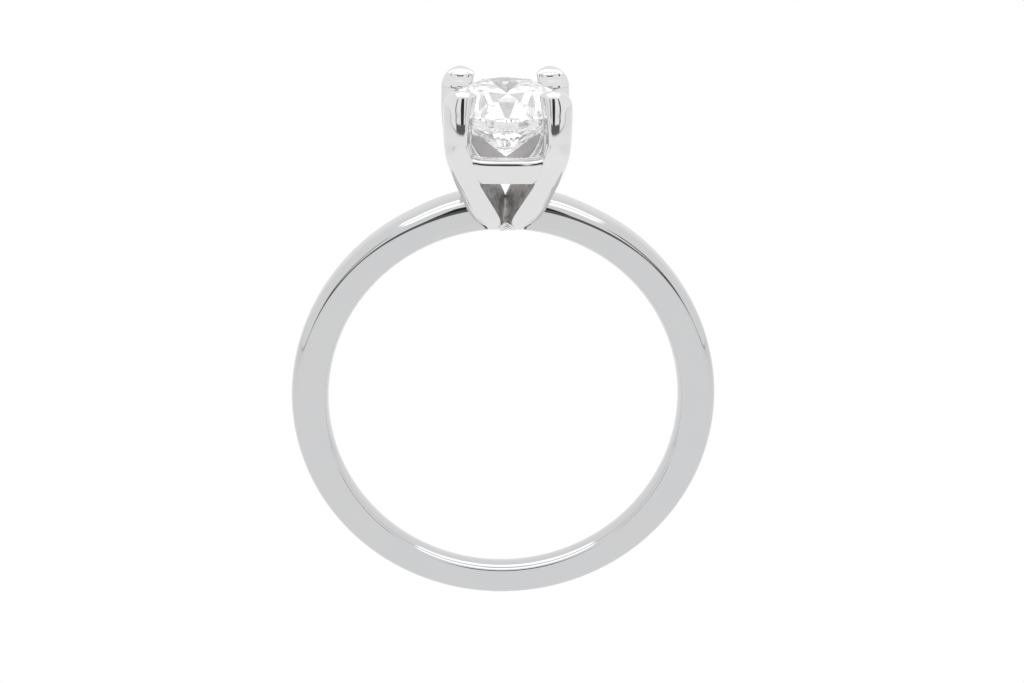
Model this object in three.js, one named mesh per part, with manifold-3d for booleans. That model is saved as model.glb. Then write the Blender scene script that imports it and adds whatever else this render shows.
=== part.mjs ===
// Four-prong solitaire engagement ring, in millimetres.
// The origin is the centre of the finger hole, +Y runs along the finger and +Z points to the stone.
import * as THREE from 'three';
import { ConvexGeometry } from 'three/addons/geometries/ConvexGeometry.js';
import { mergeVertices } from 'three/addons/utils/BufferGeometryUtils.js';
import Module from 'manifold-3d';

const wasm = await Module();
wasm.setup();

// Shank: a comfort-fit band, thicker and wider towards the shoulders.
const BORE_RADIUS = 8.5;
const THICKNESS_BOTTOM = 1.5;
const THICKNESS_TOP = 1.82;
const THINNING_START = 80; // degrees from the top where the band starts to get thinner
const WIDTH_BOTTOM = 1.5;
const WIDTH_TOP = 2.4;
const WIDENING_START = 75; // degrees from the top where the band starts to widen
const WIDENING_END = 15;
const SHOULDER_LIFT = 0.11; // extra thickness where the band meets the head
const SHOULDER_START = 27; // degrees from the top
const SHOULDER_END = 12;
const OUTER_RISE = 0.55; // height of the outer rounding, which is a superellipse
const OUTER_RISE_SHOULDER = 0.7;
const OUTER_POWER = 2.8;
const INNER_SHARE = 0.21; // height of the comfort-fit rounding, as a share of the width
const INNER_POWER = 2;
const SHANK_START = 3; // degrees from the top, inside the head, before the ends are cut
const SHANK_STEPS = 59;
const BRIDGE_END = 8; // degrees from the top, past the sides of the base
const BRIDGE_STEPS = 4;
const QUARTER_STEPS = 4; // facets in one quarter of the section's rounding

// Head: half-widths of the tapered square cup, from the feet up to the claws. Seen from the
// side, the half-width outside is the depth: the feet stand proud of the band, the claws lean in.
const HEAD_STATIONS = [
  { z: 8.7, outer: 1.0, inner: 0.4, depth: 1.16 },
  { z: 9.0, outer: 1.33, inner: 0.28, depth: 1.38 },
  { z: 9.3, outer: 1.6, inner: 0.28, depth: 1.6 },
  { z: 9.8, outer: 1.88, inner: 0.5, depth: 1.88 },
  { z: 10.5, outer: 2.17, inner: 0.88, depth: 2.17 },
  { z: 11.3, outer: 2.51, inner: 1.31, depth: 2.51 },
  { z: 12.0, outer: 2.78, inner: 1.58, depth: 2.78 },
  { z: 12.6, outer: 2.95, inner: 1.7, depth: 2.95 },
  { z: 13.2, outer: 3.05, inner: 1.72, depth: 3.03 },
  { z: 13.7, outer: 3.08, inner: 1.71, depth: 3.06 },
  { z: 14.3, outer: 3.1, inner: 1.67, depth: 3.06 },
  { z: 14.8, outer: 3.1, inner: 1.6, depth: 3.0 },
  { z: 15.3, outer: 3.05, inner: 1.54, depth: 2.93 },
];
const EDGE_RADIUS = 0.55; // rounding of a prong's outer edge
const WINDOW_RADIUS = 0.06; // rounding of a prong's edges beside the windows
const INNER_RADIUS = 0.3;
const EDGE_LIMIT = 0.6; // most of a narrow leg that its outer rounding may take
const EDGE_STEPS = 4;

// Claws: posts that end in low domes over the crown; a crease runs round each dome's foot.
const CLAW_CENTRE = new THREE.Vector2(2.175, 2.37);
const CLAW_RADII = new THREE.Vector2(0.675, 0.51);
const CLAW_BASE = 15.65;
const CLAW_HEIGHT = 0.275;
const CLAW_APEX_DEPTH = 2.55;
const CLAW_ANGLES = [32, 44, 56, 68, 80]; // tilt of the dome's surface from its foot up
const ROUND_CORNER = 0.96; // corner radius of a round section, as a share of its least half-width

// Gallery: one bar across each side of the head.
const BAR_BOTTOM = 11.3;
const BAR_BEND = 12.0; // the bar's face follows the head's bend here
const BAR_TOP = 12.55;
const BAR_DEPTH = 0.9;
const BAR_EDGE = 0.12; // bevel of the bar's upper outer edge
const BAR_FILLET = 0.1; // rise of the bar's top into the prongs, over twice that length

// Base: a plate under the four feet, and a core that closes the V between them.
const BASE_HALF_WIDTH = 0.99;
const BASE_HALF_DEPTH = 1.0;
const CORE_TOP = 10.4;
const CORE_HALF_DEPTH = 0.75;
const NOTCH_HALF_WIDTH = 0.33; // of the V notch in the core's top
const NOTCH_BOTTOM = 9.85;
const BEAD_RADII = new THREE.Vector3(0.25, 0.17, 0.16);
const BEAD_FACETS = 16;

// Diamond: a round brilliant.
const STONE_RADIUS = 2.9;
const GIRDLE_HEIGHT = 14.55; // middle of the girdle
const GIRDLE_THICKNESS = 0.16;
const TABLE_RADIUS = 1.66;
const CROWN_HEIGHT = 0.95;
const PAVILION_DEPTH = 2.43;
const STAR_SHARE = 0.55; // how far out the star facets reach
const LOWER_HALF_SHARE = 0.8; // how far down the lower-half facets reach
const FOLDS = 8;

const GAP = 0.01; // clearance between touching pieces
const CUT_REACH = 5; // half-length of a cutting block, past everything that it cuts

const whiteGold = () => new THREE.MeshStandardMaterial({ color: 0xd6d6d8, roughness: 0.1, metalness: 1 });
const solder = () => new THREE.MeshStandardMaterial({ color: 0xe4e4e2, roughness: 0.2, metalness: 1 });
const diamondClear = () => new THREE.MeshStandardMaterial({ color: 0xf2f6fa, roughness: 0, metalness: 0 });

// A closed solid through rings of points; each ring turns anticlockwise seen from the last ring.
function loft(rings) {
  const count = rings[0].length;
  const index = [];
  for (let k = 0; k < rings.length - 1; k += 1) {
    for (let i = 0; i < count; i += 1) {
      const a = k * count + i;
      const b = k * count + ((i + 1) % count);
      index.push(a, b, b + count, a, b + count, a + count);
    }
  }
  const top = (rings.length - 1) * count;
  for (let i = 1; i < count - 1; i += 1) {
    index.push(0, i + 1, i, top, top + i, top + i + 1);
  }
  const geometry = new THREE.BufferGeometry().setFromPoints(rings.flat());
  geometry.setIndex(index);
  return geometry;
}

// A flat outline in the XZ plane, extruded along Y and centred on y.
function slab(outline, halfDepth, y = 0) {
  const shape = new THREE.Shape(outline.map(([x, z]) => new THREE.Vector2(x, z)));
  const geometry = new THREE.ExtrudeGeometry(shape, { depth: 2 * halfDepth, bevelEnabled: false });
  return geometry.rotateX(Math.PI / 2).translate(0, y + halfDepth, 0);
}

function toSolid(geometry) {
  const bare = geometry.clone();
  bare.deleteAttribute('normal');
  bare.deleteAttribute('uv');
  const merged = mergeVertices(bare, 1e-5);
  const vertProperties = new Float32Array(merged.attributes.position.array);
  const triVerts = new Uint32Array(merged.index.array);
  return new wasm.Manifold(new wasm.Mesh({ numProp: 3, vertProperties, triVerts }));
}

function toGeometry(solid) {
  const { vertProperties, triVerts } = solid.getMesh();
  const geometry = new THREE.BufferGeometry();
  geometry.setAttribute('position', new THREE.BufferAttribute(vertProperties, 3));
  geometry.setIndex(new THREE.BufferAttribute(triVerts, 1));
  return geometry;
}

const { degToRad, lerp, smoothstep } = THREE.MathUtils;
const mirror = (outline) => [...outline, ...outline.map(([x, z]) => [-x, z]).reverse()];

// Half-width of the head at height z, read between its stations.
function headWidth(z, side) {
  const above = HEAD_STATIONS.findIndex((station) => station.z >= z);
  const [low, high] = [HEAD_STATIONS[Math.max(above - 1, 0)], HEAD_STATIONS[above]];
  const share = high.z > low.z ? (z - low.z) / (high.z - low.z) : 0;
  return lerp(low[side], high[side], share);
}

// Section of the band as [axial, radial] points: flat sides, rounded outside and inside.
function bandSection(width, thickness, outerRise) {
  const quarter = (rise, power) => Array.from({ length: QUARTER_STEPS + 1 }, (_, i) => {
    const angle = (i / QUARTER_STEPS) * (Math.PI / 2);
    return [(width / 2) * Math.cos(angle) ** (2 / power), rise * Math.sin(angle) ** (2 / power)];
  });
  const innerRise = INNER_SHARE * width;
  const outer = quarter(outerRise, OUTER_POWER).map(([y, up]) => [y, thickness - outerRise + up]);
  const inner = quarter(innerRise, INNER_POWER).map(([y, up]) => [y, innerRise - up]).reverse();
  const half = [...inner, ...outer];
  const otherHalf = half.slice(1, -1).map(([y, radial]) => [-y, radial]).reverse();
  return [...half, ...otherHalf];
}

// Sections of the band from one angle to another, in degrees from the top.
function bandRings(start, end, steps) {
  return Array.from({ length: steps + 1 }, (_, i) => {
    const fromTop = lerp(start, end, i / steps);
    const nearest = Math.min(Math.abs(fromTop), 360 - fromTop);
    const widening = 1 - smoothstep(nearest, WIDENING_END, WIDENING_START);
    const thinning = smoothstep(nearest, THINNING_START, 180);
    const shoulder = 1 - smoothstep(nearest, SHOULDER_END, SHOULDER_START);
    const width = lerp(WIDTH_BOTTOM, WIDTH_TOP, widening);
    const thickness = lerp(THICKNESS_TOP, THICKNESS_BOTTOM, thinning) + SHOULDER_LIFT * shoulder;
    const outerRise = lerp(OUTER_RISE, OUTER_RISE_SHOULDER, shoulder);
    const angle = degToRad(fromTop);
    return bandSection(width, thickness, outerRise).map(([y, radial]) => {
      const radius = BORE_RADIUS + radial;
      return new THREE.Vector3(radius * Math.sin(angle), y, radius * Math.cos(angle));
    });
  });
}

function shankGeometry() {
  const blank = toSolid(loft(bandRings(SHANK_START, 360 - SHANK_START, SHANK_STEPS)));
  const notch = [[BASE_HALF_WIDTH + GAP, 0], ...HEAD_STATIONS.map(({ z, outer }) => [outer + GAP, z])];
  return toGeometry(blank.subtract(toSolid(slab(mirror(notch), CUT_REACH))));
}

// A rounded rectangle at height z; radii are for the side, outer, side and inner corners.
function prongSection(z, [x0, x1], [y0, y1], [windowRadius, edgeRadius, innerRadius]) {
  const corners = [
    { x: x1, y: y0, radius: windowRadius, start: -90 },
    { x: x1, y: y1, radius: edgeRadius, start: 0 },
    { x: x0, y: y1, radius: windowRadius, start: 90 },
    { x: x0, y: y0, radius: innerRadius, start: 180 },
  ];
  return corners.flatMap(({ x, y, radius, start }) => {
    const centreX = x + (x === x1 ? -radius : radius);
    const centreY = y + (y === y1 ? -radius : radius);
    return Array.from({ length: EDGE_STEPS + 1 }, (_, i) => {
      const angle = degToRad(start + (90 * i) / EDGE_STEPS);
      return new THREE.Vector3(centreX + radius * Math.cos(angle), centreY + radius * Math.sin(angle), z);
    });
  });
}

function prongRings() {
  const body = HEAD_STATIONS.map(({ z, outer, inner, depth }) => {
    const edgeRadius = Math.min(EDGE_RADIUS, EDGE_LIMIT * (outer - inner));
    const innerRadius = INNER_RADIUS * Math.min(1, outer - inner);
    const radii = [WINDOW_RADIUS, edgeRadius, innerRadius];
    return prongSection(z, [inner, outer], [inner, depth], radii);
  });
  const foot = degToRad(CLAW_ANGLES[0]);
  const claw = CLAW_ANGLES.map((degrees) => {
    const angle = degToRad(degrees);
    const half = CLAW_RADII.clone().multiplyScalar(Math.cos(angle) / Math.cos(foot));
    const rise = (Math.sin(angle) - Math.sin(foot)) / (1 - Math.sin(foot));
    const spanX = [CLAW_CENTRE.x - half.x, CLAW_CENTRE.x + half.x];
    const middleY = lerp(CLAW_CENTRE.y, CLAW_APEX_DEPTH, rise);
    const spanY = [middleY - half.y, middleY + half.y];
    const corner = ROUND_CORNER * Math.min(half.x, half.y);
    return prongSection(CLAW_BASE + CLAW_HEIGHT * rise, spanX, spanY, [corner, corner, corner]);
  });
  return [...body, ...claw];
}

function prongSolid(signX, signY, seat) {
  const turned = prongRings().map((ring) => {
    const placed = ring.map((point) => new THREE.Vector3(signX * point.x, signY * point.y, point.z));
    return signX * signY > 0 ? placed : placed.reverse();
  });
  return toSolid(loft(turned)).subtract(seat);
}

// The bar on the front side, before it is turned to its own side of the head.
function barSolid() {
  const shoulder = headWidth(BAR_TOP, 'outer') - BAR_EDGE;
  const heights = [BAR_BOTTOM, BAR_BEND, BAR_TOP - BAR_EDGE];
  const face = heights.map((z) => [-headWidth(z, 'outer'), z]);
  const back = [...heights].reverse().map((z) => [BAR_DEPTH - headWidth(z, 'outer'), z]);
  const rise = BAR_TOP + BAR_FILLET;
  const side = [...face, [-shoulder, BAR_TOP], [-shoulder, rise], [BAR_DEPTH - shoulder, rise], ...back];
  const lengthwise = slab(side, CUT_REACH).rotateZ(Math.PI / 2);
  const ends = [BAR_BOTTOM, BAR_BEND, BAR_TOP, rise].map((z) => [headWidth(z, 'inner') - GAP, z]);
  const filletFoot = [headWidth(BAR_TOP, 'inner') - 2 * BAR_FILLET, BAR_TOP];
  return toSolid(lengthwise).intersect(toSolid(slab(mirror([...ends, filletFoot]), CUT_REACH)));
}

function brilliantPoints(grow = 0) {
  const girdleRadius = STONE_RADIUS + grow;
  const crownBase = GIRDLE_HEIGHT + GIRDLE_THICKNESS / 2 + grow / 2;
  const pavilionTop = GIRDLE_HEIGHT - GIRDLE_THICKNESS / 2 - grow / 2;
  const table = crownBase + CROWN_HEIGHT + grow / 2;
  const culet = pavilionTop - PAVILION_DEPTH - grow;
  const around = (count, radius, z, offset = 0) => Array.from({ length: count }, (_, i) => {
    const angle = ((i + offset) / count) * 2 * Math.PI;
    return new THREE.Vector3(radius * Math.cos(angle), radius * Math.sin(angle), z);
  });
  const flat = Math.cos(Math.PI / FOLDS);
  const starRadius = lerp(TABLE_RADIUS, girdleRadius * flat, STAR_SHARE) / flat;
  const bezelSlope = (table - crownBase) / (girdleRadius - TABLE_RADIUS);
  const starHeight = table - bezelSlope * (starRadius * flat - TABLE_RADIUS);
  const lowerRadius = girdleRadius * (1 - LOWER_HALF_SHARE) / flat;
  const lowerHeight = pavilionTop - (pavilionTop - culet) * LOWER_HALF_SHARE;
  return [
    ...around(FOLDS, TABLE_RADIUS, table),
    ...around(FOLDS, starRadius, starHeight, 0.5),
    ...around(4 * FOLDS, girdleRadius, crownBase),
    ...around(4 * FOLDS, girdleRadius, pavilionTop),
    ...around(FOLDS, lowerRadius, lowerHeight, 0.5),
    new THREE.Vector3(0, 0, culet),
  ];
}

// Plate and core: the plate carries on the band's comfort-fit inside, the notched core fills the
// foot of the legs' V.
function baseGeometry() {
  const plateTop = HEAD_STATIONS[0].z - GAP;
  const bridge = toSolid(loft(bandRings(-BRIDGE_END, BRIDGE_END, BRIDGE_STEPS)));
  const limits = [[BASE_HALF_WIDTH, 0], [BASE_HALF_WIDTH, plateTop]];
  const plate = bridge.intersect(toSolid(slab(mirror(limits), BASE_HALF_DEPTH)));
  const inCore = HEAD_STATIONS.filter(({ z }) => z < CORE_TOP);
  const core = [
    [inCore[0].inner - GAP, plateTop - GAP],
    ...inCore.map(({ z, inner }) => [inner - GAP, z]),
    [headWidth(CORE_TOP, 'inner') - GAP, CORE_TOP],
    [NOTCH_HALF_WIDTH, CORE_TOP],
  ];
  const outline = [...core, [0, NOTCH_BOTTOM], ...core.map(([x, z]) => [-x, z]).reverse()];
  return toGeometry(plate.add(toSolid(slab(outline, CORE_HALF_DEPTH))));
}

const group = new THREE.Group();

function addPiece(name, geometry, material) {
  const mesh = new THREE.Mesh(geometry, material);
  mesh.name = name;
  group.add(mesh);
  return mesh;
}

const diamond = new ConvexGeometry(brilliantPoints());
const seat = toSolid(new ConvexGeometry(brilliantPoints(GAP)));
const sides = { front: -1, back: 1, left: -1, right: 1 };

addPiece('shank', shankGeometry(), whiteGold());

for (const depth of ['front', 'back']) {
  for (const width of ['left', 'right']) {
    const prong = prongSolid(sides[width], sides[depth], seat);
    addPiece(`prong_${depth}_${width}`, toGeometry(prong), whiteGold());
  }
}

['front', 'right', 'back', 'left'].forEach((side, quarter) => {
  const bar = addPiece(`gallery_bar_${side}`, toGeometry(barSolid()), whiteGold());
  bar.rotation.z = (quarter * Math.PI) / 2;
});

addPiece('head_base', baseGeometry(), whiteGold());

['front', 'back'].forEach((side) => {
  const ball = new THREE.SphereGeometry(1, BEAD_FACETS, BEAD_FACETS / 2);
  const bead = ball.scale(BEAD_RADII.x, BEAD_RADII.y, BEAD_RADII.z);
  const y = sides[side] * (CORE_HALF_DEPTH + BEAD_RADII.y + GAP);
  addPiece(`solder_bead_${side}`, bead, solder()).position.set(0, y, HEAD_STATIONS[0].z + BEAD_RADII.z);
});

addPiece('diamond', diamond, diamondClear());

export default group;
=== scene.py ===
# Solitaire engagement ring: the looks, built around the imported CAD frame.
# Shapes are worked out in millimetres, as the CAD is, and scaled to metres as they become objects.
import math

import bmesh
import bpy
from mathutils import Matrix, Vector, noise


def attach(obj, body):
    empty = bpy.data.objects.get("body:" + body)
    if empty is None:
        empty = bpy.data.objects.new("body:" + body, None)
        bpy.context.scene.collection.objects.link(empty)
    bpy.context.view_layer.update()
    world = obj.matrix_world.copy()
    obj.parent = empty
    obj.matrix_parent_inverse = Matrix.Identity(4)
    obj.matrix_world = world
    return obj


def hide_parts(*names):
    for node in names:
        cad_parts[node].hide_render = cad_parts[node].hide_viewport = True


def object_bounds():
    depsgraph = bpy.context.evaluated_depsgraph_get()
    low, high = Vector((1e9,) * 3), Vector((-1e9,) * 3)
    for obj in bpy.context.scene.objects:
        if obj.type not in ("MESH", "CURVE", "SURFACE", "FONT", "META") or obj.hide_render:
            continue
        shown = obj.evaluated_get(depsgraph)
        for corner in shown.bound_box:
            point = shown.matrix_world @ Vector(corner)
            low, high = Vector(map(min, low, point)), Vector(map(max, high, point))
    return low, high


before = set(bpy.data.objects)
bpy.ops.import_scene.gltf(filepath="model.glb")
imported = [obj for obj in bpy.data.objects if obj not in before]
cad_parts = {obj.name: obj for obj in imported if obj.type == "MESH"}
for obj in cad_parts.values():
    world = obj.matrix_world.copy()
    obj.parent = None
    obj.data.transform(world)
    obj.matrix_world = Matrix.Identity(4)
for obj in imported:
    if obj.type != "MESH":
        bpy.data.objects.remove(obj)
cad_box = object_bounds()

MM = 0.001
MERGE_DISTANCE = 1e-5  # points closer than this are one

# Band: comfort-fit, thicker and wider towards the shoulders.
BORE_RADIUS = 8.5
THICKNESS_BOTTOM = 1.5
THICKNESS_TOP = 1.82
THINNING = (80, 180)  # degrees from the top
SHOULDER_LIFT = 0.11  # extra thickness where the band meets the head
SHOULDER = (12, 27)
WIDTH_BOTTOM = 1.5
WIDTH_TOP = 2.4
WIDENING = (15, 75)
OUTER_RISE = (0.66, 0.58)  # height of the outer rounding at the shoulder and away from it
OUTER_POWER = 2.8  # of the superellipse that the outer rounding follows
INNER_SHARE, INNER_POWER = 0.21, 2.0  # the comfort-fit rounding, as a share of the width
BAND_STEPS = 288
BAND_QUARTER = 12
BAND_SIDE_SHARES = (0.06, 0.35, 0.65, 0.94)  # points down the band's flat side
BAND_INSET = 0.08  # how far the band's ends reach into the legs
BAND_END_RANGE = (0.5, 40.0)  # degrees from the top between which its ends lie
HALVINGS = 40

# Head: half-widths of the tapered square cup at heights from the feet up.
OUTER_PROFILE = [
    (8.75, 1.0), (9.0, 1.33), (9.3, 1.6), (9.8, 1.88), (10.5, 2.17), (11.3, 2.51),
    (12.0, 2.78), (12.6, 2.95), (13.2, 3.05), (13.9, 3.09), (14.7, 3.1), (15.0, 3.095),
    (15.2, 3.07), (15.4, 3.01), (15.55, 2.93), (15.65, 2.85),
]
INNER_PROFILE = [
    (8.75, 0.4), (9.0, 0.28), (9.3, 0.28), (9.8, 0.5), (10.5, 0.88), (11.3, 1.31),
    (12.0, 1.58), (12.6, 1.7), (13.2, 1.72), (13.9, 1.7), (14.7, 1.62), (15.3, 1.54), (15.65, 1.5),
]
DEPTH_PROFILE = [  # the same outline seen from the side, where the claws lean in a little
    (8.7, 1.16), (9.0, 1.38), (9.3, 1.6), (9.8, 1.88), (10.5, 2.17), (11.3, 2.51),
    (12.0, 2.78), (12.6, 2.94), (13.2, 3.03), (13.6, 3.058), (13.95, 3.066), (14.3, 3.05), (14.7, 3.0),
    (15.1, 2.95), (15.65, 2.88),
]
CORNER_PROFILE = [  # the post's inner corner, which closes in on the axis below the bars
    (8.7, 0.0), (10.08, 0.0), (10.22, 0.05), (10.34, 0.11), (10.46, 0.18), (10.75, 0.38), (11.3, 0.8),
    (12.0, 1.4), (12.6, 1.7), (13.2, 1.72), (13.9, 1.7), (14.7, 1.62), (15.4, 1.45),
]
FOOT_BOTTOM = 8.7
EDGE_RADIUS = (0.3, 0.5)  # of the outer edge, below and above
INNER_EDGE_RADIUS = 0.3
WINDOW_RADIUS = 0.07  # of the edges beside the windows
CHAMFER_TOP = (10.8, 12.6)  # below the first height the outer edge is a filed chamfer
ROUNDING = (12.55, 13.5)  # between these heights the post turns from square to round
CLAW_BASE = 15.65  # a crease runs round here, at the foot of the dome
CLAW_HEIGHT = 0.26
CLAW_THINNING = 0.36  # of the claw's inner side, towards the dome
CLAW_THINNING_START = 15.0
POST_CREST = (2.15, 2.14)  # the crest lines of the round post's section
CREST_SETTLING = (11.5, 12.3)  # heights between which the crests take their place
CLAW_APEX = (2.17, 2.55)  # where the dome is highest, nearer to its outer side
CLAW_TILT = math.radians(40)  # of the dome's surface at its foot
CREASE_RISE = 0.04  # height over which the crease is softened
DOME_TOP_TILT = math.radians(89.3)  # where its last ring lies
POST_LEVELS = 84
DOME_LEVELS = 24
ROUND_SHARE = 0.96  # how much of a round section its corners take
CHAMFER_FLATNESS = 0.75
EDGE_LIMIT = 0.6  # most of a narrow leg that its outer edge may take
JOINED_EDGE = 0.004  # the window's edge where a bar runs into the post
FOOT_INNER_EDGE = 0.04  # rounding of the inner corner in the foot, which grows to INNER_EDGE_RADIUS
INNER_EDGE_GROWTH = (10, 12)
CORNER_STEPS = 12
FACE_STEPS = 5

# Gallery bars.
BAR_BOTTOM, BAR_TOP, BAR_DEPTH = 11.3, 12.55, 0.9
BAR_EDGE_HEIGHT = 0.27  # rounding of its upper outer edge
BAR_EDGE_DEPTH = (0.24, 0.4)  # at the middle and at the ends
BAR_EDGE_POWER = 2.5
BAR_BOW = 0.12  # how far the ends of that edge stand back from its middle
BAR_CHAMFER = (0.14, 0.34)  # depth and height of the chamfer below
BAR_BACK_EDGE = 0.2  # rounding of its upper inner edge
BAR_SAG, BAR_SAG_POWER = 0.16, 6  # how far its ends rise, and how late
BAR_STEPS = 64
BAR_FACE_STEPS, BAR_EDGE_STEPS, BAR_BACK_STEPS = 12, 16, 6
JOINING_START = (BAR_BOTTOM - 0.1, BAR_BOTTOM)  # heights over which the posts' edges sharpen into a bar
JOINING_END = (BAR_TOP - 0.05, BAR_TOP + 0.1)

# Base.
BASE_HALF_WIDTH, BASE_HALF_DEPTH = 0.99, 1.0
PLATE_SKIN = 0.02  # the plate's top stands this much above the feet's lower ends
PLATE_STEPS = 16
CORE_BOTTOM, CORE_TOP = FOOT_BOTTOM - 0.05, 10.0
CORE_PROFILE = [  # radius by height
    (8.65, 0.97), (9.1, 0.93), (9.35, 0.84), (9.6, 0.66), (9.85, 0.44), (10.1, 0.03),
]
CORE_FLATTENING = 0.8  # its width as a share of its depth
CORE_LUMP = 0.12
CORE_LUMP_SCALE = (2.2, 1.7)  # around and up
CORE_LEVELS, CORE_SIDES = 28, 48

# Solder: a few small drops run together.
BEAD_SIZE = (0.56, 0.23, 0.21)
BEAD_SUBDIVISIONS = 5
BEAD_PLACE = (1.0, FOOT_BOTTOM + 0.13)  # distance from the middle of the band, height
BEAD_LUMP, BEAD_LUMP_SCALE = 0.22, 1.9
BEAD_RIPPLE, BEAD_RIPPLE_SCALE = 0.07, 5.2
BEAD_SEEDS = {"front": 3.0, "back": 11.0}

# Diamond: a round brilliant.
STONE_RADIUS = 2.9
GIRDLE_HEIGHT, GIRDLE_THICKNESS = 14.55, 0.16
TABLE_RADIUS, CROWN_HEIGHT, PAVILION_DEPTH = 1.66, 0.95, 2.43
STAR_SHARE, LOWER_HALF_SHARE = 0.55, 0.8
FOLDS = 8
BLANK_SIDES, BLANK_HEIGHT = 96, 8
CUT_TOLERANCE = 1e-6
CORNER_TOLERANCE = 1e-4  # points of the cut stone closer than this are one
FLAT_ANGLE = math.radians(0.2)  # faces that lie this close to one plane are one facet
SEAT_GAP = 0.01

# Faces that look into the head have a finish of their own. In the foot of the head that finish is rough
# cast metal running from near black to white, its dark end partly painted shade in the recess between the
# legs.
INSIDE_START = FOOT_BOTTOM + 0.3
LEG_INSIDE_END = BAR_BOTTOM + 0.05
PLATE_END = FOOT_BOTTOM + 0.02
INWARD = -0.2  # most that such a face's normal may point outward


def lerp(a, b, share):
    return a + (b - a) * share


def between(a, b, share):
    """The point that lies at a share of the way from a to b."""
    return lerp(a[0], b[0], share), lerp(a[1], b[1], share)


def smoothstep(low, high, value):
    share = min(max((value - low) / (high - low), 0.0), 1.0)
    return share * share * (3 - 2 * share)


def along(profile, z):
    """A smooth curve through a profile's points, read at height z."""
    count = len(profile)
    if z <= profile[0][0]:
        return profile[0][1]
    if z >= profile[-1][0]:
        return profile[-1][1]
    k = next(i for i in range(count - 1) if z <= profile[i + 1][0])

    def slope(i):
        before, after = profile[max(i - 1, 0)], profile[min(i + 1, count - 1)]
        return (after[1] - before[1]) / (after[0] - before[0])

    (z0, v0), (z1, v1) = profile[k], profile[k + 1]
    step = z1 - z0
    t = (z - z0) / step
    return (
        v0 * (1 + 2 * t) * (1 - t) ** 2
        + slope(k) * step * t * (1 - t) ** 2
        + v1 * t * t * (3 - 2 * t)
        + slope(k + 1) * step * t * t * (t - 1)
    )


# ---------------------------------------------------------------- meshes

def make_object(name, vertices, faces):
    mesh = bpy.data.meshes.new(name)
    mesh.from_pydata([tuple(v) for v in vertices], [], faces)
    mesh.validate()
    obj = bpy.data.objects.new(name, mesh)
    bpy.context.scene.collection.objects.link(obj)
    return obj


def loft(rings):
    """Points and faces of a stack of rings, with a flat cap at each end."""
    size = len(rings[0])
    faces = []
    for k in range(len(rings) - 1):
        low = k * size
        high = low + size
        for i in range(size):
            j = (i + 1) % size
            faces.append((low + i, low + j, high + j, high + i))
    top = (len(rings) - 1) * size
    faces.append(tuple(reversed(range(size))))
    faces.append(tuple(range(top, top + size)))
    return [point for ring in rings for point in ring], faces


def faces_axis(face):
    """Whether a face of the head looks inward."""
    middle, normal = face.calc_center_median(), face.normal
    outward = Vector((middle.x, middle.y, 0)).normalized()
    return INSIDE_START < middle.z and normal.dot(outward) < INWARD


def in_foot(face):
    """Whether a face of a leg looks into the foot of the head."""
    middle, normal = face.calc_center_median(), face.normal
    diagonal = Vector((math.copysign(1, middle.x), math.copysign(1, middle.y), 0)).normalized()
    return INSIDE_START < middle.z < LEG_INSIDE_END and normal.dot(diagonal) < INWARD


def above_plate(face):
    return face.calc_center_median().z > PLATE_END


def finish_piece(obj, nodes, material, crease=None, inside=None, where=faces_axis):
    """Scales a piece to metres, shades it, hangs it on the root body and hides the CAD nodes that it stands
    for.

    Edges sharper than crease, in degrees, stay sharp. Without a crease every face stays flat.
    """
    mesh = obj.data
    work = bmesh.new()
    work.from_mesh(mesh)
    bmesh.ops.remove_doubles(work, verts=work.verts, dist=MERGE_DISTANCE)
    bmesh.ops.recalc_face_normals(work, faces=work.faces)
    mesh.materials.clear()
    for each in [material, inside]:
        if each:
            mesh.materials.append(each)
    for face in work.faces:
        face.material_index = 1 if inside and where(face) else 0
    work.to_mesh(mesh)
    work.free()
    mesh.transform(Matrix.Scale(MM, 4))
    if crease is None:
        mesh.shade_flat()
    else:
        mesh.shade_smooth()
        mesh.set_sharp_from_angle(angle=math.radians(crease))
    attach(obj, "root")
    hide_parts(*nodes)


# ---------------------------------------------------------------- materials

NOISE_LOW, NOISE_HIGH = 0.3, 0.7

# Sizes of the metal's clouding and waves, in cells to the metre, and how finely they are broken up.
GLOSS_SCALE = 900
TONE_SCALE = 260
FINE_TONE_SCALE = 3200
POLISH_WAVES = 1400
SOLDER_WAVES = 3000
CAST_WAVES = 5200
CLOUD_DETAIL = 3
WAVE_DETAIL = 2
WAVE_DEPTH = 0.01 * MM

DIAMOND_INDEX = 2.42
DIAMOND_ROUGHNESS = 0.025
DIAMOND_TINTS = ((0.985, 0.99, 1.0), (0.995, 0.995, 1.0))
DIAMOND_TINT_SCALE, DIAMOND_TINT_DETAIL = 400, 1


def principled(name, **inputs):
    """A new material with its node tree and shader, whose inputs are named with underscores."""
    material = bpy.data.materials.new(name)
    material.use_nodes = True
    shader = material.node_tree.nodes["Principled BSDF"]
    for key, value in inputs.items():
        shader.inputs[key.replace("_", " ")].default_value = value
    return material, material.node_tree, shader


def noise_node(tree, scale, detail, coordinates):
    node = tree.nodes.new("ShaderNodeTexNoise")
    node.inputs["Scale"].default_value = scale
    node.inputs["Detail"].default_value = detail
    tree.links.new(coordinates, node.inputs["Vector"])
    return node.outputs["Fac"]


def spread_noise(tree, value, to_min, to_max):
    """Stretches the range that noise mostly keeps to over another range."""
    node = tree.nodes.new("ShaderNodeMapRange")
    node.inputs["From Min"].default_value = NOISE_LOW
    node.inputs["From Max"].default_value = NOISE_HIGH
    node.inputs["To Min"].default_value = to_min
    node.inputs["To Max"].default_value = to_max
    tree.links.new(value, node.inputs["Value"])
    return node.outputs["Result"]


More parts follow.
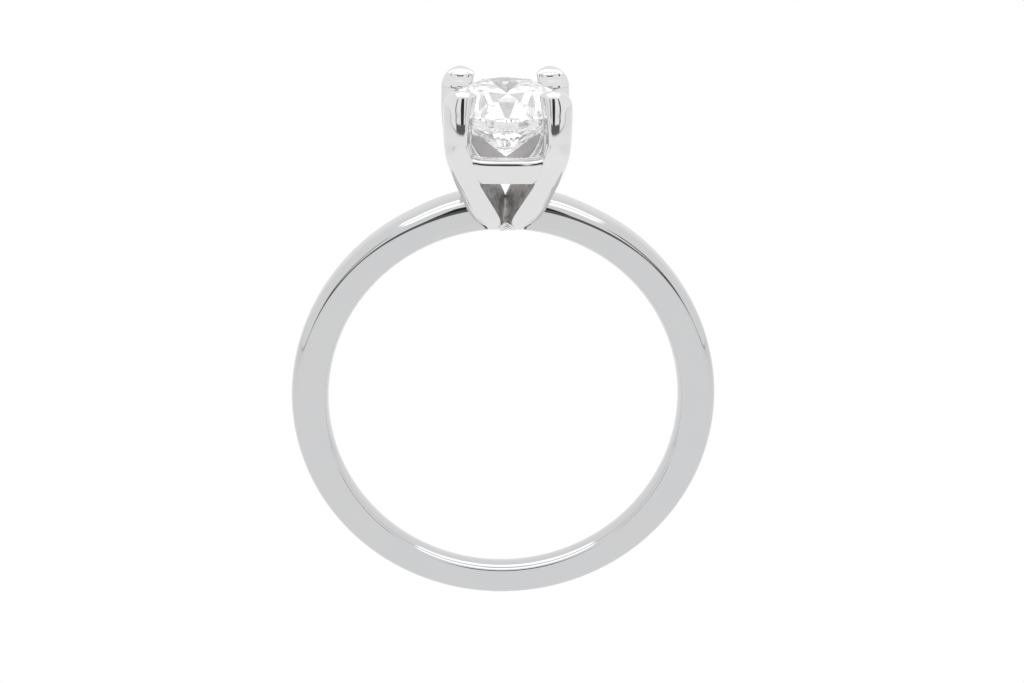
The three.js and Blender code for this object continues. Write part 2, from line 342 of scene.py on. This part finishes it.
def tint_shader(tree, shader, place, tones, scale, detail):
    """Lets a shader's colour drift between two tones."""
    tint = tree.nodes.new("ShaderNodeMix")
    tint.data_type = "RGBA"
    tree.links.new(noise_node(tree, scale, detail, place), tint.inputs["Factor"])
    tint.inputs["A"].default_value = (*tones[0], 1)
    tint.inputs["B"].default_value = (*tones[1], 1)
    tree.links.new(tint.outputs["Result"], shader.inputs["Base Color"])


def metal(name, tones, rough, waviness, wave_scale, metallic=1.0, tone_scale=TONE_SCALE):
    """White metal: slight clouding in its gloss and tone, and a waviness left by hand work. Where the tones
    lie far apart, as on the cast faces in the foot of the head, the dark one is partly painted shade.
    """
    material, tree, shader = principled(name, Metallic=metallic)
    place = tree.nodes.new("ShaderNodeTexCoord").outputs["Object"]
    clouds = noise_node(tree, GLOSS_SCALE, CLOUD_DETAIL, place)
    tree.links.new(spread_noise(tree, clouds, *rough), shader.inputs["Roughness"])
    tint_shader(tree, shader, place, tones, tone_scale, WAVE_DETAIL)
    bump = tree.nodes.new("ShaderNodeBump")
    bump.inputs["Strength"].default_value = waviness
    bump.inputs["Distance"].default_value = WAVE_DEPTH
    tree.links.new(noise_node(tree, wave_scale, WAVE_DETAIL, place), bump.inputs["Height"])
    tree.links.new(bump.outputs["Normal"], shader.inputs["Normal"])
    return material


def diamond_material():
    material, tree, shader = principled(
        "diamond", Roughness=DIAMOND_ROUGHNESS, IOR=DIAMOND_INDEX, Transmission_Weight=1.0,
    )
    place = tree.nodes.new("ShaderNodeTexCoord").outputs["Object"]
    tint_shader(tree, shader, place, DIAMOND_TINTS, DIAMOND_TINT_SCALE, DIAMOND_TINT_DETAIL)
    return material


# Each metal: tones it varies between, roughness it varies between, strength and size of its waves.
WHITE_GOLD = metal(
    "white_gold", ((0.60, 0.605, 0.615), (0.625, 0.625, 0.63)), (0.03, 0.055), 0.08, POLISH_WAVES,
)
HEAD_GOLD = metal("head_gold", ((0.71, 0.705, 0.715), (0.80, 0.795, 0.80)), (0.04, 0.09), 0.1, POLISH_WAVES)
# Rough cast finish whose tone runs from near black to white: its dark end is partly painted shade in the
# recess between the legs.
CAST_AND_PAINTED_SHADE = metal(
    "cast_and_painted_shade_inside", ((0.12, 0.11, 0.105), (1.0, 0.985, 0.975)), (0.4, 0.6), 0.8, CAST_WAVES,
    metallic=0.85, tone_scale=FINE_TONE_SCALE,
)
INSIDE_BAR = metal("inside_bar", ((0.92, 0.905, 0.90), (1.0, 0.985, 0.98)), (0.5, 0.7), 0.6, CAST_WAVES)
SOLDER = metal("solder", ((0.72, 0.72, 0.72), (0.80, 0.80, 0.79)), (0.04, 0.09), 0.25, SOLDER_WAVES)
DIAMOND = diamond_material()


# ---------------------------------------------------------------- band

def band_size(degrees):
    """Width, thickness and outer rise of the band at an angle from the top."""
    nearest = min(abs(degrees), 360 - degrees)
    width = lerp(WIDTH_TOP, WIDTH_BOTTOM, smoothstep(*WIDENING, nearest))
    thickness = lerp(THICKNESS_TOP, THICKNESS_BOTTOM, smoothstep(*THINNING, nearest))
    shoulder = 1 - smoothstep(*SHOULDER, nearest)
    return width, thickness + SHOULDER_LIFT * shoulder, lerp(OUTER_RISE[1], OUTER_RISE[0], shoulder)


def band_section():
    """One turn round the section: functions of width, thickness and outer rise giving (axial, radial)."""
    def rounding(power, step):
        angle = step / BAND_QUARTER * math.pi / 2
        return math.cos(angle) ** (2 / power), math.sin(angle) ** (2 / power)

    def outer(sign, step):
        across, up = rounding(OUTER_POWER, step)
        return lambda w, t, rise: (sign * across * w / 2, t - rise * (1 - up))

    def inner(sign, step):
        across, up = rounding(INNER_POWER, step)
        return lambda w, t, rise: (sign * across * w / 2, INNER_SHARE * w * (1 - up))

    def side(sign, share):
        return lambda w, t, rise: (sign * w / 2, lerp(INNER_SHARE * w, t - rise, share))

    steps = range(BAND_QUARTER + 1)
    return (
        [inner(1, s) for s in reversed(steps)]
        + [side(1, share) for share in BAND_SIDE_SHARES]
        + [outer(1, s) for s in steps]
        + [outer(-1, s) for s in reversed(steps[:-1])]
        + [side(-1, share) for share in reversed(BAND_SIDE_SHARES)]
        + [inner(-1, s) for s in steps[:-1]]
    )


def band_radius(point, degrees):
    """Where a point of the section lies along the finger and out from the bore's axis."""
    axial, radial = point(*band_size(degrees))
    return axial, BORE_RADIUS + radial


def cut_angle(point):
    """Degrees from the top at which one line along the band meets the head."""
    low, high = BAND_END_RANGE
    for _ in range(HALVINGS):
        middle = (low + high) / 2
        _, radius = band_radius(point, middle)
        angle = math.radians(middle)
        head = max(along(OUTER_PROFILE, radius * math.cos(angle)) - BAND_INSET, BASE_HALF_WIDTH)
        if radius * math.sin(angle) < head:
            low = middle
        else:
            high = middle
    return (low + high) / 2


def make_band():
    section = band_section()
    starts = [cut_angle(point) for point in section]
    rings = []
    for k in range(BAND_STEPS + 1):
        ring = []
        for point, start in zip(section, starts):
            degrees = lerp(start, 360 - start, k / BAND_STEPS)
            axial, radius = band_radius(point, degrees)
            angle = math.radians(degrees)
            ring.append((radius * math.sin(angle), axial, radius * math.cos(angle)))
        rings.append(ring)
    band = make_object("band", *loft(rings))
    finish_piece(band, ["shank"], WHITE_GOLD, crease=40)


# ---------------------------------------------------------------- head

def post_limits(z):
    """Ranges of a post across and in depth at height z, and the crests of its round section."""
    inner = along(INNER_PROFILE, z)
    x_range = [inner, along(OUTER_PROFILE, z)]
    thinned = inner + CLAW_THINNING * smoothstep(CLAW_THINNING_START, CLAW_BASE, z)
    y_range = [thinned, along(DEPTH_PROFILE, z)]
    settled = smoothstep(*CREST_SETTLING, z)
    middle_x = lerp(sum(x_range) / 2, POST_CREST[0], settled)
    middle_y = lerp(sum(y_range) / 2, POST_CREST[1], settled)
    if z > CLAW_BASE:
        sine = lerp(math.sin(CLAW_TILT), 1, (z - CLAW_BASE) / CLAW_HEIGHT)
        dome = math.sqrt(1 - sine ** 2) / math.cos(CLAW_TILT)
        x_range = [lerp(CLAW_APEX[0], x, dome) for x in x_range]
        y_range = [lerp(CLAW_APEX[1], y, dome) for y in y_range]
        middle_x = lerp(CLAW_APEX[0], middle_x, dome)
        middle_y = lerp(CLAW_APEX[1], middle_y, dome)
    return x_range, y_range, middle_x, middle_y


def post_section(z):
    """The section of a post at height z as (outward x, outward y) points, blended from square to round."""
    (x0, x1), (y0, y1), crest_x, crest_y = post_limits(z)
    round_share = smoothstep(*ROUNDING, z)
    joined = smoothstep(*JOINING_START, z) - smoothstep(*JOINING_END, z)
    window = lerp(WINDOW_RADIUS, JOINED_EDGE, joined)
    edge = min(lerp(*EDGE_RADIUS, smoothstep(*CHAMFER_TOP, z)), EDGE_LIMIT * (x1 - x0))
    hidden = lerp(FOOT_INNER_EDGE, INNER_EDGE_RADIUS, smoothstep(*INNER_EDGE_GROWTH, z))
    inner_x = lerp(along(CORNER_PROFILE, z), x0, round_share)
    inner_y = lerp(along(CORNER_PROFILE, z), y0, round_share)
    corners = [  # the limits that meet in each corner, its small radius and its first angle
        (x1, y0, window, -90),
        (x1, y1, edge, 0),
        (x0, y1, window, 90),
        (inner_x, inner_y, hidden, 180),
    ]
    flatness = CHAMFER_FLATNESS * (1 - smoothstep(*CHAMFER_TOP, z))
    arcs = []
    for limit_x, limit_y, radius, start in corners:
        radius_x = lerp(radius, ROUND_SHARE * abs(limit_x - crest_x), round_share)
        radius_y = lerp(radius, ROUND_SHARE * abs(limit_y - crest_y), round_share)
        centre_x = limit_x + math.copysign(radius_x, crest_x - limit_x)
        centre_y = limit_y + math.copysign(radius_y, crest_y - limit_y)
        arc = []
        for i in range(CORNER_STEPS + 1):
            angle = math.radians(start + 90 * i / CORNER_STEPS)
            arc.append((centre_x + radius_x * math.cos(angle), centre_y + radius_y * math.sin(angle)))
        if start == 0:
            first, last = arc[0], arc[-1]
            arc = [
                between(point, between(first, last, i / CORNER_STEPS), flatness)
                for i, point in enumerate(arc)
            ]
        arcs.append(arc)
    points = []
    for arc, following in zip(arcs, arcs[1:] + arcs[:1]):
        points += arc
        points += [between(arc[-1], following[0], i / (FACE_STEPS + 1)) for i in range(1, FACE_STEPS + 1)]
    return points


def post_rings():
    """Sections of a post from its foot to the top of its claw, closer together in the dome."""
    crease_start = CLAW_BASE - CREASE_RISE
    heights = [lerp(FOOT_BOTTOM, crease_start, k / POST_LEVELS) for k in range(POST_LEVELS + 1)]
    foot = math.sin(CLAW_TILT)
    for k in range(DOME_LEVELS + 1):
        tilt = lerp(CLAW_TILT, DOME_TOP_TILT, k / DOME_LEVELS)
        rise = CLAW_HEIGHT * (math.sin(tilt) - foot) / (1 - foot)
        if k == 0 or rise > CREASE_RISE:
            heights.append(CLAW_BASE + rise)
    return [[(x, y, z) for x, y in post_section(z)] for z in heights]


def cut_away(obj, cutter):
    """Applies a boolean difference and leaves the result in the object's mesh."""
    modifier = obj.modifiers.new("seat", "BOOLEAN")
    modifier.operation = "DIFFERENCE"
    modifier.solver = "EXACT"
    modifier.object = cutter
    bpy.context.view_layer.update()
    evaluated = obj.evaluated_get(bpy.context.evaluated_depsgraph_get())
    mesh = bpy.data.meshes.new_from_object(evaluated)
    obj.modifiers.clear()
    obj.data = mesh


def make_prongs(cutter):
    rings = post_rings()
    for depth, sign_y in (("front", -1), ("back", 1)):
        for width, sign_x in (("left", -1), ("right", 1)):
            placed = [[(sign_x * x, sign_y * y, z) for x, y, z in ring] for ring in rings]
            prong = make_object(f"claw_{depth}_{width}", *loft(placed))
            cut_away(prong, cutter)
            nodes = [f"prong_{depth}_{width}"]
            # The legs' inner faces in the foot take the cast finish, whose dark end is partly painted shade
            # in the recess.
            finish_piece(prong, nodes, HEAD_GOLD, crease=32, inside=CAST_AND_PAINTED_SHADE, where=in_foot)


def bar_section(lift, edge, bow):
    """Section of a bar as (outward, z): chamfered below, rounded above, following the head's profile."""
    top = BAR_TOP + lift
    chamfer_depth, chamfer_height = BAR_CHAMFER
    points = [(along(OUTER_PROFILE, BAR_BOTTOM) - chamfer_depth, BAR_BOTTOM)]
    face_low = BAR_BOTTOM + chamfer_height
    face_high = top - BAR_EDGE_HEIGHT
    for i in range(BAR_FACE_STEPS + 1):
        share = i / BAR_FACE_STEPS
        z = lerp(face_low, face_high, share)
        points.append((along(OUTER_PROFILE, z) - bow * share ** 2, z))
    outward = along(OUTER_PROFILE, face_high) - bow
    for i in range(1, BAR_EDGE_STEPS + 1):
        angle = math.radians(90 * i / BAR_EDGE_STEPS)
        inset = 1 - math.cos(angle) ** (2 / BAR_EDGE_POWER)
        rise = BAR_EDGE_HEIGHT * math.sin(angle) ** (2 / BAR_EDGE_POWER)
        points.append((outward - edge * inset, face_high + rise))
    back = outward - BAR_DEPTH
    for i in range(BAR_BACK_STEPS + 1):
        angle = math.radians(90 + 90 * i / BAR_BACK_STEPS)
        points.append((
            back + BAR_BACK_EDGE * (1 + math.cos(angle)),
            top - BAR_BACK_EDGE * (1 - math.sin(angle)),
        ))
    points.append((along(OUTER_PROFILE, BAR_BOTTOM) - BAR_DEPTH, BAR_BOTTOM))
    return points


def make_bars():
    rings = []
    for k in range(BAR_STEPS + 1):
        share = -math.cos(math.pi * k / BAR_STEPS)
        lift = BAR_SAG * abs(share) ** BAR_SAG_POWER
        edge = lerp(*BAR_EDGE_DEPTH, share ** 2)
        section = bar_section(lift, edge, BAR_BOW * share ** 2)
        rings.append([(share * along(INNER_PROFILE, z), -outward, z) for outward, z in section])
    for quarter, side in enumerate(("front", "right", "back", "left")):
        turn = Matrix.Rotation(quarter * math.pi / 2, 3, "Z")
        placed = [[turn @ Vector(point) for point in ring] for ring in rings]
        bar = make_object(f"rail_{side}", *loft(placed))
        finish_piece(bar, [f"gallery_bar_{side}"], HEAD_GOLD, crease=25, inside=INSIDE_BAR)


def make_base():
    """The plate that carries on the band's inside, and the rough core that closes the legs' V."""
    section = band_section()
    plate_thickness = FOOT_BOTTOM - BORE_RADIUS
    rings = []
    reach = math.asin(BASE_HALF_WIDTH / BORE_RADIUS)
    for k in range(PLATE_STEPS + 1):
        angle = lerp(-reach, reach, k / PLATE_STEPS)
        ring = []
        for point in section:
            axial, radial = point(WIDTH_TOP, plate_thickness + OUTER_RISE[0], OUTER_RISE[0])
            radius = BORE_RADIUS + min(radial, plate_thickness + PLATE_SKIN)
            depth = axial * BASE_HALF_DEPTH / (WIDTH_TOP / 2)
            ring.append((radius * math.sin(angle), depth, radius * math.cos(angle)))
        rings.append(ring)
    plate_points, plate_faces = loft(rings)
    core_rings = []
    around, upward = CORE_LUMP_SCALE
    for k in range(CORE_LEVELS + 1):
        z = lerp(CORE_BOTTOM, CORE_TOP, k / CORE_LEVELS)
        size = along(CORE_PROFILE, z)
        ring = []
        for i in range(CORE_SIDES):
            angle = 2 * math.pi * i / CORE_SIDES
            place = Vector((around * math.cos(angle), around * math.sin(angle), upward * z))
            lump = 1 + CORE_LUMP * noise.noise(place)
            radius = size * lump
            ring.append((CORE_FLATTENING * radius * math.cos(angle), radius * math.sin(angle), z))
        core_rings.append(ring)
    core_points, core_faces = loft(core_rings)
    offset = len(plate_points)
    points = plate_points + core_points
    faces = plate_faces + [tuple(i + offset for i in face) for face in core_faces]
    base = make_object("base", points, faces)
    # The core above the plate takes the cast finish, whose dark end is partly painted shade in the recess.
    finish_piece(base, ["head_base"], HEAD_GOLD, crease=40, inside=CAST_AND_PAINTED_SHADE, where=above_plate)


def make_beads():
    """Flowed solder between the feet: a few small drops run together."""
    depth, height = BEAD_PLACE
    for side, sign in (("front", -1), ("back", 1)):
        seed = BEAD_SEEDS[side]
        work = bmesh.new()
        bmesh.ops.create_icosphere(work, subdivisions=BEAD_SUBDIVISIONS, radius=1)
        for vertex in work.verts:
            direction = vertex.co.normalized()
            lump = BEAD_LUMP * noise.noise(direction * BEAD_LUMP_SCALE + Vector((seed, 0, 0)))
            ripple = BEAD_RIPPLE * noise.noise(direction * BEAD_RIPPLE_SCALE + Vector((0, seed, 0)))
            scale = 1 + lump + ripple
            vertex.co = Vector([size * part for size, part in zip(BEAD_SIZE, direction)]) * scale
            vertex.co += Vector((0, sign * depth, height))
        bead = make_object(f"bead_{side}", [], [])
        work.to_mesh(bead.data)
        work.free()
        finish_piece(bead, [f"solder_bead_{side}"], SOLDER, crease=180)


# ---------------------------------------------------------------- diamond

def facet_planes(grow=0.0):
    """The planes of a round brilliant's facets, as (point, outward normal)."""
    crown_base = GIRDLE_HEIGHT + GIRDLE_THICKNESS / 2
    pavilion_top = GIRDLE_HEIGHT - GIRDLE_THICKNESS / 2
    table = crown_base + CROWN_HEIGHT
    culet = pavilion_top - PAVILION_DEPTH
    flat = math.cos(math.pi / FOLDS)
    star_radius = lerp(TABLE_RADIUS, STONE_RADIUS * flat, STAR_SHARE) / flat
    planes = [(Vector((0, 0, table)), Vector((0, 0, 1)))]

    def through(a, b, c):
        normal = (b - a).cross(c - a).normalized()
        if normal.dot(a - Vector((0, 0, GIRDLE_HEIGHT))) < 0:
            normal.negate()
        return a, normal

    def at(radius, z, turn):
        angle = 2 * math.pi * turn / FOLDS
        return Vector((radius * math.cos(angle), radius * math.sin(angle), z))

    crown_slope = CROWN_HEIGHT / (STONE_RADIUS - TABLE_RADIUS)
    star_height = table - crown_slope * (star_radius * flat - TABLE_RADIUS)
    lower_radius = STONE_RADIUS * (1 - LOWER_HALF_SHARE) / flat
    lower_height = lerp(pavilion_top, culet, LOWER_HALF_SHARE)
    tip = Vector((0, 0, culet))
    for k in range(FOLDS):
        corner = at(TABLE_RADIUS, table, k)
        girdle = at(STONE_RADIUS, crown_base, k)
        star_before = at(star_radius, star_height, k - 0.5)
        star_after = at(star_radius, star_height, k + 0.5)
        planes.append(through(corner, star_before, star_after))
        planes.append(through(corner, at(TABLE_RADIUS, table, k + 1), star_after))
        planes.append(through(girdle, star_after, at(STONE_RADIUS, crown_base, k + 0.5)))
        planes.append(through(girdle, star_before, at(STONE_RADIUS, crown_base, k - 0.5)))
        low_girdle = at(STONE_RADIUS, pavilion_top, k)
        lower_before = at(lower_radius, lower_height, k - 0.5)
        lower_after = at(lower_radius, lower_height, k + 0.5)
        planes.append(through(tip, lower_before, lower_after))
        planes.append(through(low_girdle, lower_after, at(STONE_RADIUS, pavilion_top, k + 0.5)))
        planes.append(through(low_girdle, lower_before, at(STONE_RADIUS, pavilion_top, k - 0.5)))
    return [(point + normal * grow, normal) for point, normal in planes]


def make_stone(name, grow=0.0):
    """Cuts the facets one by one from a round blank, as a cutter does."""
    work = bmesh.new()
    bmesh.ops.create_cone(
        work, cap_ends=True, cap_tris=False, segments=BLANK_SIDES,
        radius1=STONE_RADIUS + grow, radius2=STONE_RADIUS + grow, depth=BLANK_HEIGHT,
    )
    bmesh.ops.translate(work, verts=work.verts, vec=(0, 0, GIRDLE_HEIGHT))
    for point, normal in facet_planes(grow):
        everything = list(work.verts) + list(work.edges) + list(work.faces)
        cut = bmesh.ops.bisect_plane(
            work, geom=everything, dist=CUT_TOLERANCE, plane_co=point, plane_no=normal, clear_outer=True,
        )
        edges = [item for item in cut["geom_cut"] if isinstance(item, bmesh.types.BMEdge)]
        if edges:
            bmesh.ops.contextual_create(work, geom=edges)
    bmesh.ops.remove_doubles(work, verts=work.verts, dist=CORNER_TOLERANCE)
    bmesh.ops.dissolve_limit(work, angle_limit=FLAT_ANGLE, verts=work.verts, edges=work.edges)
    stone = make_object(name, [], [])
    work.to_mesh(stone.data)
    work.free()
    return stone


# ---------------------------------------------------------------- nodes of the setting

def math_node(tree, operation, *values):
    node = tree.nodes.new("ShaderNodeMath")
    node.operation = operation
    for socket, value in zip(node.inputs, values):
        if isinstance(value, (int, float)):
            socket.default_value = value
        else:
            tree.links.new(value, socket)
    return node.outputs[0]


def soft_step(tree, value, low, high):
    """0 below low and 1 above high, with a smooth rise between them."""
    node = tree.nodes.new("ShaderNodeMapRange")
    node.interpolation_type = "SMOOTHSTEP"
    node.inputs["From Min"].default_value = low
    node.inputs["From Max"].default_value = high
    tree.links.new(value, node.inputs["Value"])
    return node.outputs["Result"]


def band_mask(tree, value, low, high, soft):
    """1 between low and high and 0 outside, with edges of a given softness."""
    rising = soft_step(tree, value, low - soft / 2, low + soft / 2)
    falling = soft_step(tree, value, high - soft / 2, high + soft / 2)
    return math_node(tree, "SUBTRACT", rising, falling)


def invert(tree, value):
    return math_node(tree, "SUBTRACT", 1.0, value)


def multiply(tree, *values):
    product = values[0]
    for value in values[1:]:
        product = math_node(tree, "MULTIPLY", product, value)
    return product


# ---------------------------------------------------------------- camera and setting

LENS = 225.1  # focal length
CAMERA_DISTANCE = 311.5
CAMERA_ELEVATION = math.radians(16.5)
CAMERA_YAW = math.radians(-1.967)
CAMERA_ROLL = math.radians(0.678)
AIM = Vector((0.4, 0, 2.73))  # the point that the camera looks at
CLIPPING = (10 * MM, 10)
BOUNCES, METAL_BOUNCES, STONE_BOUNCES = 48, 32, 32


def make_camera():
    """A long lens a little above the ring, turned and tilted as in the photograph."""
    data = bpy.data.cameras.new("camera")
    data.lens = LENS
    data.clip_start, data.clip_end = CLIPPING
    camera = bpy.data.objects.new("camera", data)
    bpy.context.scene.collection.objects.link(camera)
    level, rise = math.cos(CAMERA_ELEVATION), math.sin(CAMERA_ELEVATION)
    back = Vector((math.sin(CAMERA_YAW) * level, -math.cos(CAMERA_YAW) * level, rise))
    across = Vector((math.cos(CAMERA_YAW), math.sin(CAMERA_YAW), 0))
    up = back.cross(across)
    right = across * math.cos(CAMERA_ROLL) + up * math.sin(CAMERA_ROLL)
    over = up * math.cos(CAMERA_ROLL) - across * math.sin(CAMERA_ROLL)
    place = (AIM + back * CAMERA_DISTANCE) * MM
    camera.matrix_world = Matrix((
        (right.x, over.x, back.x, place.x),
        (right.y, over.y, back.y, place.y),
        (right.z, over.z, back.z, place.z),
        (0, 0, 0, 1),
    ))
    bpy.context.scene.camera = camera


PAPER_FRONT = 100  # how far the white paper reaches in front of the ring
PAPER_FALL = ((0.0, 1.0), (0.35, 1.0), (0.78, 0.97), (0.89, 0.6), (1.0, 0.05))  # light by share of it
PAPER_REACH = 1500  # how far it goes to the other sides
PAPER_SIDES = (15, 140)  # the paper gets darker between these distances to each side
PAPER_SIDE_FALL = 0.08


def make_floor():
    """White paper that shines evenly to the eye, and less far away as the metal mirrors it."""
    level = cad_box[0][2] / MM
    left, right, near, far = -PAPER_REACH, PAPER_REACH, -PAPER_FRONT, PAPER_REACH
    corners = [(left, near, level), (right, near, level), (right, far, level), (left, far, level)]
    floor = make_object("floor", corners, [(0, 1, 2, 3)])
    floor.data.transform(Matrix.Scale(MM, 4))
    material = bpy.data.materials.new("paper")
    material.use_nodes = True
    tree = material.node_tree
    tree.nodes.clear()
    place = tree.nodes.new("ShaderNodeTexCoord").outputs["Object"]
    parts = tree.nodes.new("ShaderNodeSeparateXYZ")
    tree.links.new(place, parts.inputs["Vector"])
    share = math_node(tree, "MULTIPLY", parts.outputs["Y"], -1 / (PAPER_FRONT * MM))
    fall = tree.nodes.new("ShaderNodeValToRGB")
    ramp = fall.color_ramp.elements
    while len(ramp) < len(PAPER_FALL):
        ramp.new(0.5)
    for element, (position, value) in zip(ramp, PAPER_FALL):
        element.position = position
        element.color = (value, value, value, 1)
    tree.links.new(share, fall.inputs["Fac"])
    aside = math_node(tree, "ABSOLUTE", parts.outputs["X"])
    far_aside = soft_step(tree, aside, *(edge * MM for edge in PAPER_SIDES))
    side_light = invert(tree, multiply(tree, far_aside, PAPER_SIDE_FALL))
    lit = math_node(tree, "MULTIPLY", fall.outputs["Color"], side_light)
    rays = tree.nodes.new("ShaderNodeLightPath")
    strength = tree.nodes.new("ShaderNodeMix")
    strength.data_type = "FLOAT"
    tree.links.new(rays.outputs["Is Camera Ray"], strength.inputs["Factor"])
    tree.links.new(lit, strength.inputs["A"])
    strength.inputs["B"].default_value = 1.0
    glow = tree.nodes.new("ShaderNodeEmission")
    tree.links.new(strength.outputs["Result"], glow.inputs["Strength"])
    output = tree.nodes.new("ShaderNodeOutputMaterial")
    tree.links.new(glow.outputs["Emission"], output.inputs["Surface"])
    floor.data.materials.append(material)


# The tent. Places on the roof are on a level ceiling at unit height, and angles are in degrees.
PANEL_GAIN = 0.75  # how much brighter the lit panel is than the cloth
PANEL_SIDE = (0.76, 0.86)
PANEL_DEPTH = (-0.7, 0.7, 0.08)  # from, to and softness
PANEL_SEAM = (-0.2, -0.03, 0.05)
LOWEST_RISE = 0.02  # keeps the ceiling's places finite towards the horizon
OPENING_BOTTOM = (-3, -1)
OPENING_TOP = (20, 23)
OPENING_MIDDLE = (8, 10)  # half-width of the camera and its lens
RIGHT_EDGE = (31, 39, 2)
LEFT_EDGE = (-38, -32, 2)
LEFT_EDGE_DARKNESS = 0.8
TABLE_SIDE = (32, 38)
TABLE_DARKNESS = 0.9
OPENING_DARKNESS = 0.97
THROUGH_STONE = 0.6  # how much of the opening's darkness the stone doesn't pick up


def make_tent():
    """A white light tent with a bright roof, and the dark slit that the camera looks in through."""
    world = bpy.data.worlds.new("tent")
    bpy.context.scene.world = world
    world.use_nodes = True
    tree = world.node_tree
    tree.nodes.clear()
    direction = tree.nodes.new("ShaderNodeTexCoord").outputs["Generated"]
    parts = tree.nodes.new("ShaderNodeSeparateXYZ")
    tree.links.new(direction, parts.inputs["Vector"])
    x, y, z = parts.outputs
    elevation = math_node(tree, "DEGREES", math_node(tree, "ARCSINE", z))
    azimuth = math_node(tree, "DEGREES", math_node(tree, "ARCTAN2", x, math_node(tree, "MULTIPLY", y, -1)))
    aside = math_node(tree, "ABSOLUTE", azimuth)

    # The lit panel in the roof, with a seam across it.
    height = math_node(tree, "MAXIMUM", z, LOWEST_RISE)
    panel_x = math_node(tree, "ABSOLUTE", math_node(tree, "DIVIDE", x, height))
    panel_y = math_node(tree, "DIVIDE", math_node(tree, "MULTIPLY", y, -1), height)
    panel = multiply(
        tree,
        invert(tree, soft_step(tree, panel_x, *PANEL_SIDE)),
        band_mask(tree, panel_y, *PANEL_DEPTH),
        invert(tree, band_mask(tree, panel_y, *PANEL_SEAM)),
    )
    light = math_node(tree, "ADD", 1.0, math_node(tree, "MULTIPLY", panel, PANEL_GAIN))

    # The opening in front: the camera in the middle, a dark edge at each side, the dark table below.
    above = soft_step(tree, elevation, *OPENING_BOTTOM)
    in_height = math_node(tree, "MULTIPLY", above, invert(tree, soft_step(tree, elevation, *OPENING_TOP)))
    lens = invert(tree, soft_step(tree, aside, *OPENING_MIDDLE))
    left_edge = math_node(tree, "MULTIPLY", band_mask(tree, azimuth, *LEFT_EDGE), LEFT_EDGE_DARKNESS)
    edges = math_node(tree, "ADD", band_mask(tree, azimuth, *RIGHT_EDGE), left_edge)
    beside = soft_step(tree, aside, *TABLE_SIDE)
    table = multiply(tree, invert(tree, above), invert(tree, beside), TABLE_DARKNESS)
    opening = math_node(tree, "MULTIPLY", in_height, math_node(tree, "ADD", lens, edges))
    dark = math_node(tree, "ADD", table, opening)
    rays = tree.nodes.new("ShaderNodeLightPath")
    through = math_node(tree, "MULTIPLY", rays.outputs["Is Transmission Ray"], THROUGH_STONE)
    depth = math_node(tree, "SUBTRACT", OPENING_DARKNESS, through)
    strength = math_node(tree, "MULTIPLY", light, invert(tree, math_node(tree, "MULTIPLY", dark, depth)))

    shown = tree.nodes.new("ShaderNodeMix")
    shown.data_type = "FLOAT"
    tree.links.new(rays.outputs["Is Camera Ray"], shown.inputs["Factor"])
    tree.links.new(strength, shown.inputs["A"])
    shown.inputs["B"].default_value = 1.0
    background = tree.nodes.new("ShaderNodeBackground")
    background.inputs["Color"].default_value = (1, 1, 1, 1)
    tree.links.new(shown.outputs["Result"], background.inputs["Strength"])
    output = tree.nodes.new("ShaderNodeOutputWorld")
    tree.links.new(background.outputs["Background"], output.inputs["Surface"])


make_camera()
make_tent()
make_floor()
bpy.context.scene.view_settings.view_transform = "Standard"
bpy.context.scene.cycles.caustics_reflective = True
bpy.context.scene.cycles.caustics_refractive = True
bpy.context.scene.cycles.max_bounces = BOUNCES
bpy.context.scene.cycles.glossy_bounces = METAL_BOUNCES
bpy.context.scene.cycles.transmission_bounces = STONE_BOUNCES

cutter = make_stone("seat_cutter", SEAT_GAP)
make_band()
make_prongs(cutter)
bpy.data.objects.remove(cutter)
make_bars()
make_base()
make_beads()
finish_piece(make_stone("stone"), ["diamond"], DIAMOND)
